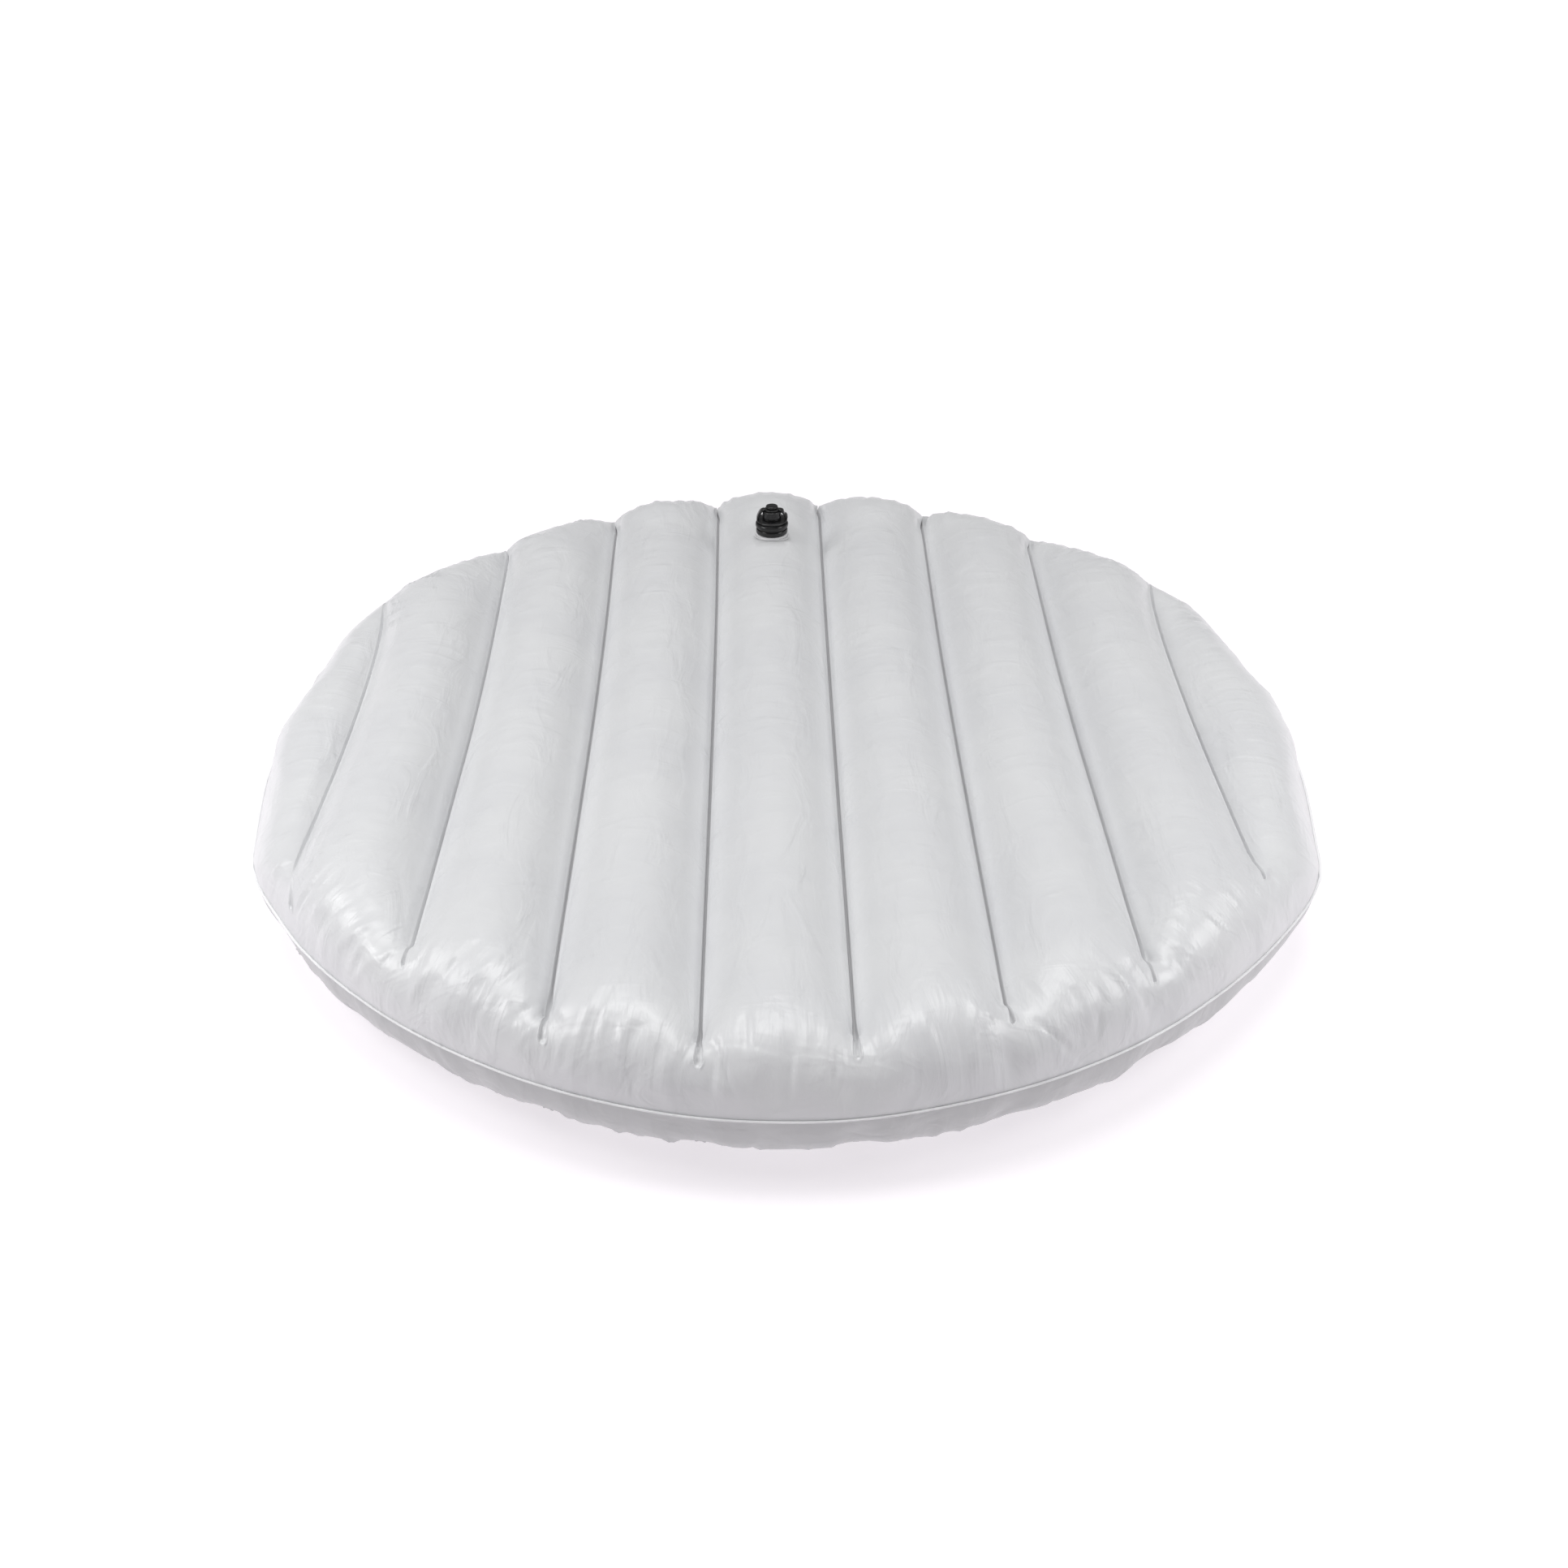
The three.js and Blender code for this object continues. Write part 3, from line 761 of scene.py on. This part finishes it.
def skin_columns(flat, bands):
    """Where the skin's columns lie among the solved ones, row by row, and the creases in them."""
    cells, rim_cells = LEVELS[-1][:2]
    cell = (FLAT_PITCH - WELD_BAND) / cells
    rows = flat.shape[1]
    places = [np.full(rows, float(step)) for step in range(rim_cells)]
    creases = []
    for line, band in enumerate(bands):
        near, far = weld_span(line, flat, band)
        half, depth, edge, lip = crease_shape(line, near, far)
        foot = np.maximum(WELD_BAND / 2, half + SHOULDER)
        offsets = np.stack([0 * half, FLOOR_SHARE * half, half, half + EDGE_WIDTH, foot])
        on_weld = 0.5 + offsets / WELD_BAND
        beside = 1 + (offsets - WELD_BAND / 2) / cell
        share = np.where(offsets <= WELD_BAND / 2, on_weld, beside)
        opened = np.clip((half - SLIT_HALF) / SLIT_HALF, 0, MOST_OPEN)
        floor = len(places) + CREASE_COLUMNS
        creases.append(Crease(floor, depth, edge, lip, opened, (near > 0) & (far > 0)))
        places += [band + 1 - row for row in share[:0:-1]] + [band + row for row in share]
        if line < WELDS - 1:
            width = bands[line + 1] - band - 1
            places += [np.full(rows, band + 1 + width * step / SKIN_CELLS) for step in range(1, SKIN_CELLS)]
    places += [np.full(rows, float(bands[-1] + 1 + step)) for step in range(1, rim_cells + 1)]
    return np.array(places), creases


def film_tones(flat, creases, clear):
    """The film's values from 0 to 1: painted shade in the creases, and fine gathers at the shoulder."""
    inside = rim_distance(flat)
    painted_shade = np.zeros(inside.shape)
    # Painted shade: the creases' floors and walls are darkened in colour, more where they are deeper.
    for crease, darkness in zip(creases, CREASE_SHADING):
        wall = WALL_SHADING + (1 - WALL_SHADING) * crease.opened
        for step, share in ((0, 1 - crease.opened), (1, 1 - crease.opened), (2, wall)):
            for column in {crease.floor - step, crease.floor + step}:
                painted_shade[column] = darkness * share * np.clip(crease.depth / SLIT_DEPTH, 0, 1) ** 0.5
    gathers = ease(inside / GATHER_START) * ease(2.2 - inside / GATHER_FADE) * clear
    return {"crease": painted_shade, "gathers": gathers}


def sunk_creases(points, creases, out):
    """The film's points with the creases pressed in along the welds, and their edges raised."""
    for crease in creases:
        floor = crease.lip - crease.depth
        middle = crease_normal(points, crease.floor) * out
        for step, amount in enumerate((floor, floor, crease.lip, crease.edge + crease.lip)):
            for column in {crease.floor - step, crease.floor + step}:
                points[column] += middle * amount[:, None]
    return points


def skin_grids(film, bands):
    """Top and bottom grid of the skins, the creases in them, and the film's tones."""
    flat = flat_grid(*LEVELS[-1][:3])[0]
    film = rolled_ends(calm_weld_ends(steered_welds(film, flat, bands), flat), flat)
    both = finer_rows(np.concatenate([film, np.stack([flat, flat])], -1))
    places, creases = skin_columns(both[0, ..., 3:], bands)
    both = finer_columns(both, places)
    floors = np.array([crease.floor for crease in creases])
    aside = np.abs(np.arange(len(places))[:, None] - floors).min(1)[:, None]
    first, last = CALM_COLUMNS
    clear = CREASE_CALM + (1 - CREASE_CALM) * ease((aside - first) / (last - first))
    grids = []
    for side, out, seed in zip(both, (1, -1), PUCKER_SEEDS):
        points, cut = side[..., :3], side[..., 3:]
        height = pucker_height(cut, seed) * clear
        points = points + grid_normals(points) * out * height[..., None]
        grids.append(sunk_creases(points, creases, out))
    return grids, creases, film_tones(both[0, ..., 3:], creases, clear)


def scaled_to_frame(film):
    """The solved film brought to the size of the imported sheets, its lowest point at z = 0."""
    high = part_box("top_sheet")[1]
    for axis in (0, 1):
        least, most = film[..., axis].min(), film[..., axis].max()
        film[..., axis] -= (least + most) / 2
        film[..., axis] *= (high[axis] - CAD_LIP) / ((most - least) / 2)
    film[..., 2] *= (high.z / 2) / film[..., 2].max()
    film[..., 2] += high.z / 2
    return film


def raised_at_valve(points):
    """The film rises to the valve's collar, which is stiffer and stands a little proud of the crown."""
    apart = np.hypot(points[..., 0] - VALVE_X, points[..., 1] - VALVE_Y)
    crown = points[np.unravel_index(apart.argmin(), apart.shape)][2]
    points[..., 2] += (VALVE_Z - COLLAR_PROUD - crown) * np.exp(-((apart / COLLAR_SPREAD) ** 2))
    return points


def rest_on_floor(points):
    """The underside's crowns flatten where they touch the floor."""
    z = points[..., 2]
    sunk = z - PRESS * np.exp(-z / PRESS_REACH)
    points[..., 2] = np.where(sunk > FLATNESS, sunk, FLATNESS * np.exp(sunk / FLATNESS - 1))
    return points


def rim_outwards(rim):
    """The level direction out of the cushion at each point of its rim."""
    out = np.zeros_like(rim)
    for reach in range(1, RIM_REACH + 1):
        along = np.roll(rim, -reach, 0) - np.roll(rim, reach, 0)
        out += np.stack([along[:, 1], -along[:, 0], 0 * along[:, 2]], -1)
    return out / np.linalg.norm(out, axis=1)[:, None]


def film_skin(name, points, tones, side, node, hole=None):
    """One film: the inflated grid and the flat seam outside its rim, with a hole for the valve."""
    columns, rows = points.shape[:2]
    index = np.arange(columns * rows).reshape(columns, rows)
    vertices = points.reshape(-1, 3)
    faces = np.stack([index[:-1, :-1], index[1:, :-1], index[1:, 1:], index[:-1, 1:]], -1)
    loop = rim_loop(columns, rows)
    rim = points[loop[0], loop[1]]
    out = rim_outwards(rim)
    rings = [index[loop[0], loop[1]]]
    for share in LIP_RINGS:
        rings.append(len(vertices) + np.arange(len(rim)))
        vertices = np.concatenate([vertices, rim + out * share * LIP_WIDTH + (0, 0, side * LIP_GAP)])
    faces = [tuple(face) for face in faces.reshape(-1, 4)] + tube(rings)
    on_seam = np.arange(len(vertices)) >= index.size
    values = {key: np.append(value, np.zeros(on_seam.sum())) for key, value in tones.items()}
    # Marks the seam's lip for its painted highlight.
    values["seam"] = on_seam.astype(float)
    # Marks the underside's film for its painted shade.
    values["under"] = np.where(on_seam, 0.0, side < 0)
    used = np.arange(len(vertices))
    if hole:
        vertices, faces, used = with_hole(vertices, faces, *hole)
    if side < 0:
        faces = [face[::-1] for face in faces]
    made = piece(name, vertices, faces, "film", "cushion", [node], closed=False)
    for key, value in values.items():
        made.data.attributes.new(key, "FLOAT", "POINT").data.foreach_set("value", value[used])
    solid = made.modifiers.new("thickness", "SOLIDIFY")
    solid.thickness = FILM_THICK
    solid.offset = -1
    return made


def with_hole(vertices, faces, center, radius):
    """The mesh without the faces inside a circle, its edge drawn onto it, and the points it keeps."""
    tree = BVHTree.FromPolygons([tuple(v) for v in vertices], faces)
    away = np.hypot(vertices[:, 0] - center[0], vertices[:, 1] - center[1])
    kept = [face for face in faces if away[list(face)].min() > radius]
    gone = {v for face in faces if away[list(face)].min() <= radius for v in face}
    used = sorted({v for face in kept for v in face})
    vertices = vertices.copy()
    for v in sorted(gone.intersection(used)):
        x, y = center + (vertices[v, :2] - center) * (radius / away[v])
        vertices[v] = tree.ray_cast((x, y, 1), (0, 0, -1))[0]
    number = {v: n for n, v in enumerate(used)}
    return vertices[used], [tuple(number[v] for v in face) for face in kept], used


def web_strip(line, top, bottom, held):
    """A ribbon from weld to weld, with a flange welded along its top and bottom edge."""
    rows = np.flatnonzero(held)[WEB_MARGIN:-WEB_MARGIN]
    rows = rows[np.linspace(0, len(rows) - 1, WEB_STATIONS).astype(int)]
    vertices = []
    for row in rows:
        for x, z, upper in WEB_SECTION:
            end = top[row] - (0, 0, WEB_GAP) if upper else bottom[row] + (0, 0, WEB_GAP)
            vertices.append(end + (x * WEB_FLANGE, 0, z * WEB_THICK))
    rings = np.arange(len(vertices)).reshape(len(rows), len(WEB_SECTION))
    name = f"web_strip_{line + 1}"
    nodes = [f"web_{line + 1}"]
    return piece(name, vertices, capped_tube(list(rings)), "web_film", "cushion", nodes, smooth=False)


# ---- Turned and swept pieces of the valve ----
def filleted(profile, radius):
    """A closed outline with its corners rounded off."""
    points = [np.array(p, float) for p in profile]
    made = []
    for before, corner, after in zip(points[-1:] + points[:-1], points, points[1:] + points[:1]):
        cut = [min(radius, 0.45 * np.linalg.norm(end - corner)) for end in (before, after)]
        start = corner + (before - corner) / np.linalg.norm(before - corner) * cut[0]
        end = corner + (after - corner) / np.linalg.norm(after - corner) * cut[1]
        for t in np.linspace(0, 1, FILLET_STEPS + 1):
            made.append((1 - t) ** 2 * start + 2 * t * (1 - t) * corner + t * t * end)
    return made


def at_valve(x, y, z):
    """A place given in millimetres from the middle of the collar's top."""
    return VALVE_X + x * MM, VALVE_Y + y * MM, VALVE_Z + z * MM


def turned(profile):
    """Vertices and faces of a closed outline, (radius, height) in millimetres, turned about the valve."""
    turn = np.arange(ROUND) * 2 * math.pi / ROUND
    vertices, rings = [], []
    for radius, height in profile:
        if radius < ON_AXIS:
            rings.append(np.full(ROUND, len(vertices)))
            vertices.append(at_valve(0, 0, height))
            continue
        rings.append(len(vertices) + np.arange(ROUND))
        vertices += [at_valve(radius * math.cos(a), radius * math.sin(a), height) for a in turn]
    closed = profile[0][0] > ON_AXIS
    corners = [tuple(dict.fromkeys(face)) for face in tube(rings + rings[:1] if closed else rings)]
    return vertices, [face for face in corners if len(face) > 2]


def turned_piece(name, profile, finish, body, nodes, radius):
    """A turned piece; an outline that starts on the axis keeps its first and last point as they are."""
    if profile[0][0] < ON_AXIS:
        inside = filleted(profile, radius)
        profile = [profile[0], *inside[FILLET_STEPS + 1 : -(FILLET_STEPS + 1)], profile[-1]]
    else:
        profile = filleted(profile, radius)
    return piece(name, *turned(profile), finish, body, nodes)


def rounded_box(low, high, turn, inset):
    """A box with chamfered edges, in millimetres from the valve's axis, turned about it."""
    low, high = np.array(low, float), np.array(high, float)
    middle, half = (low + high) / 2, (high - low) / 2
    cosine, sine = math.cos(turn), math.sin(turn)
    vertices, rings = [], []
    for level, share in ((-1, 1), (-1, 0), (1, 0), (1, 1)):
        z = middle[2] + level * (half[2] - (0 if share else inset))
        width = half[:2] - (inset if share else 0)
        corners = [(width[0] - inset, width[1]), (width[0], width[1] - inset)]
        outline = corners + [(x, -y) for x, y in reversed(corners)]
        outline += [(-x, -y) for x, y in corners] + [(-x, y) for x, y in reversed(corners)]
        rings.append(len(vertices) + np.arange(len(outline)))
        for x, y in np.array(outline) + middle[:2]:
            vertices.append(at_valve(x * cosine - y * sine, x * sine + y * cosine, z))
    return vertices, capped_tube(rings)


def joined(*meshes):
    """Several meshes as one."""
    vertices, faces = [], []
    for more_vertices, more_faces in meshes:
        faces += [tuple(v + len(vertices) for v in face) for face in more_faces]
        vertices += more_vertices
    return vertices, faces


def strap(name, path, node):
    """A strap through (x, z, half width, half thickness) stations, bending from the leash to the cap."""
    stations = np.array(path)
    steps = np.linspace(0, len(path) - 1, STRAP_STEPS)
    line = along_curve(lambda place: stations[place], steps, len(path) - 1)
    tangent = np.gradient(line[:, :2], axis=0)
    tangent /= np.linalg.norm(tangent, axis=1)[:, None]
    turn = np.arange(STRAP_SIDES) * 2 * math.pi / STRAP_SIDES
    across, out = (np.copysign(np.abs(wave) ** STRAP_SQUARE, wave) for wave in (np.cos(turn), np.sin(turn)))
    vertices, rings = [], []
    for (x, z, width, thick), (along, rise) in zip(line, tangent):
        rings.append(len(vertices) + np.arange(STRAP_SIDES))
        for side, lift in zip(across * width, out * thick):
            vertices.append(at_valve(x - rise * lift, side, z + along * lift))
    made = piece(name, vertices, capped_tube(rings), "soft_black", None, [node])
    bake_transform(made)
    return made


def collar(film):
    """The soft collar: a neck round the socket, and a thin flange welded on the film round its hole."""
    segments = 2 * ROUND
    tree = BVHTree.FromPolygons([tuple(v.co) for v in film.data.vertices],
                                [tuple(p.vertices) for p in film.data.polygons])
    neck = [(19.6, -12), (19.6, -0.3), (19.9, 0), (22.2, 0), (22.7, -0.2), (23, -0.7)]
    # radius, height above the film
    flange = [(23.1, 1.4), (23.4, 0.8), (24.1, 0.5), (24.9, 0.35), (25.2, 0.2), (25.1, 0.05), (24.2, 0.05)]
    under = [(23.2, -2.5), (22.6, -12)]
    vertices, rings = [], []
    for profile, on_film in ((neck, False), (flange, True), (under, False)):
        for radius, rise in profile:
            rings.append(len(vertices) + np.arange(segments))
            for angle in np.arange(segments) * 2 * math.pi / segments:
                x, y, z = at_valve(radius * math.cos(angle), radius * math.sin(angle), rise)
                if on_film:
                    reach = max(radius * MM, HOLE_RADIUS + FILM_EDGE)
                    ahead = (VALVE_X + reach * math.cos(angle), VALVE_Y + reach * math.sin(angle), 1)
                    z = tree.ray_cast(ahead, (0, 0, -1))[0].z + rise * MM
                vertices.append((x, y, z))
    return piece("collar", vertices, tube(rings + rings[:1]), "collar", "cushion", ["valve_collar"])


# ---- The cushion ----
film, bands = inflated_film()
(top_grid, bottom_grid), creases, tones = skin_grids(scaled_to_frame(film), bands)
top_grid = raised_at_valve(top_grid)
bottom_grid = rest_on_floor(bottom_grid)
rims = rim_loop(*top_grid.shape[:2])
middle_rim = (top_grid[rims[0], rims[1]] + bottom_grid[rims[0], rims[1]]) / 2
for grid in (top_grid, bottom_grid):
    grid[rims[0], rims[1]] = middle_rim
hole = ((VALVE_X, VALVE_Y), HOLE_RADIUS)
top_film = film_skin("top_film", top_grid, tones, 1, "top_sheet", hole)
film_skin("bottom_film", bottom_grid, tones, -1, "bottom_sheet")
for line, crease in enumerate(creases):
    web_strip(line, top_grid[crease.floor], bottom_grid[crease.floor], crease.held)
collar(top_film)

# ---- The valve ----
turned_piece(
    "socket",
    [(16.9, -14), (19.3, -14), (19.3, 0.3), (22.4, 0.3), (22.9, 2), (22.9, 5.6), (22.2, 7.5), (16.9, 7.5)],
    "hard_black", "cushion", ["valve_socket"], 1.4,
)
ring = turned(filleted([(19.6, 7.8), (21.6, 7.8), (21.6, 9.2), (19.6, 9.2)], 0.5))
arm = rounded_box((20.4, -3.5, 7.85), (26, 3.5, 9.15), TAB_TURN, 0.4)
tab = rounded_box((24.5, -3.5, 7.9), (26, 3.5, 15.2), TAB_TURN, 0.5)
piece("body_leash_ring", *joined(ring, arm, tab), "soft_black", "body_leash", ["body_tether"])
turned_piece(
    "screw_body",
    [(1.7, -11), (16.6, -11), (16.6, 9.6), (22.6, 9.6), (23.6, 10.6), (23.8, 13.4), (23.6, 15.2),
     (22.2, 16.6), (20.2, 16.9), (20.2, 18), (11.2, 18), (11.2, 31), (8, 31), (8, 10), (13.5, 3),
     (13.5, -9), (1.7, -9)],
    "hard_black", "valve_core", ["valve_body"], 1.0,
)
turned_piece(
    "cap_leash_ring", [(11.6, 18.3), (21.8, 18.3), (22.4, 19.3), (21.8, 20.5), (11.6, 20.5)],
    "soft_black", "cap_leash", ["cap_tether"], 0.6,
)
turned_piece(
    "screw_cap",
    [(0, 32.8), (11.5, 32.8), (11.5, 20.8), (13.4, 20.8), (13.4, 34), (6.9, 34), (6.9, 37.6),
     (8.65, 38), (8.65, 41), (0, 41.4)],
    "hard_black", "cap", ["valve_cap"], 1.3,
)
turned_piece(
    "cap_ring", [(7.3, 34.4), (10.6, 34.4), (10.6, 36.8), (7.3, 36.8)],
    "soft_black", "cap", ["cap_loop"], 0.9,
)
strap(
    "strap_left",
    [(-9.9, 35.8, 4.4, 0.9), (-12.6, 35.2, 5.2, 1.5), (-15.6, 32.8, 6.0, 1.9), (-17.8, 29.2, 6.4, 2.1),
     (-19.6, 25.4, 6.2, 2.0), (-20.6, 22.2, 5.6, 1.4), (-19.6, 19.9, 4.6, 0.8)],
    "cap_strap_left",
)
strap(
    "strap_right",
    [(9.9, 35.8, 4.4, 0.9), (12.4, 35.1, 5.0, 1.4), (15.0, 33.2, 6.0, 2.3), (16.6, 30.6, 5.4, 1.6),
     (18.0, 28.4, 5.4, 1.6), (20.0, 26.2, 6.4, 2.5), (21.2, 23.6, 6.0, 1.9), (20.6, 21.4, 5.0, 1.2),
     (19.6, 19.9, 4.6, 0.8)],
    "cap_strap_right",
)
for name in ("body_seal", "check_flap", "flap_stem", "cap_seal"):
    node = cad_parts[name]
    node.data.materials.clear()
    node.data.materials.append(FINISHES["soft_black" if name == "flap_stem" else "seal"])


# ---- Floor and light ----
FLOOR_COLOR = (0.54, 0.52, 0.54)
FLOOR_GLOW = (0.61, 0.78)  # the floor's own light, under the object and far from it
FLOOR_FADE = (1.0, 4.0)  # metres from the middle to where that light starts and stops growing
FLOOR_REACH = 30  # metres, half its width
FLOOR_DROP = 0.2 * MM  # keeps it clear of the underside


def make_floor():
    finish = Finish("floor", FLOOR_COLOR, 0.95, Specular_IOR_Level=0.1, Emission_Color=(1, 0.965, 1, 1))
    away = finish.node("VectorMath", "Value", {"operation": "LENGTH"}, Vector=finish.place)
    glow = finish.span(away, *FLOOR_GLOW, *FLOOR_FADE, "LINEAR")
    finish.fill(finish.shader, Emission_Strength=glow)
    corners = [(x * FLOOR_REACH, y * FLOOR_REACH, 0) for x, y in ((-1, -1), (1, -1), (1, 1), (-1, 1))]
    floor = mesh_object("floor", corners, [(0, 1, 2, 3)], finish.material, smooth=False)
    floor.location.z = -FLOOR_DROP


def softbox(name, place, aim, size, power):
    lamp = bpy.data.lights.new(name, "AREA")
    lamp.shape = "RECTANGLE"
    lamp.size, lamp.size_y = size
    lamp.energy = power
    made = placed(name, lamp)
    made.location = place
    made.rotation_mode = "QUATERNION"
    made.rotation_quaternion = (Vector(aim) - Vector(place)).to_track_quat("-Z", "Y")


def even_light(strength, angle, tilt):
    """A very wide sun: the same light all over the floor, with soft shadows."""
    lamp = bpy.data.lights.new("even", "SUN")
    lamp.energy = strength
    lamp.angle = math.radians(angle)
    placed("even", lamp).rotation_euler = (math.radians(tilt[0]), math.radians(tilt[1]), 0)


def make_world(strength):
    world = bpy.data.worlds.new("studio")
    world.use_nodes = True
    background = world.node_tree.nodes["Background"]
    background.inputs["Color"].default_value = (1, 1, 1, 1)
    background.inputs["Strength"].default_value = strength
    bpy.context.scene.world = world


make_floor()
make_world(strength=0.18)
even_light(strength=1.4, angle=34, tilt=(-12, -2))
softbox("left", place=(-1.9, -0.35, 1.7), aim=(-0.4, -0.3, 0.1), size=(1.3, 0.9), power=26)
softbox("right", place=(1.9, -0.45, 1.5), aim=(0.4, -0.3, 0.1), size=(1.2, 0.8), power=18)
bpy.context.scene.view_settings.view_transform = "Standard"
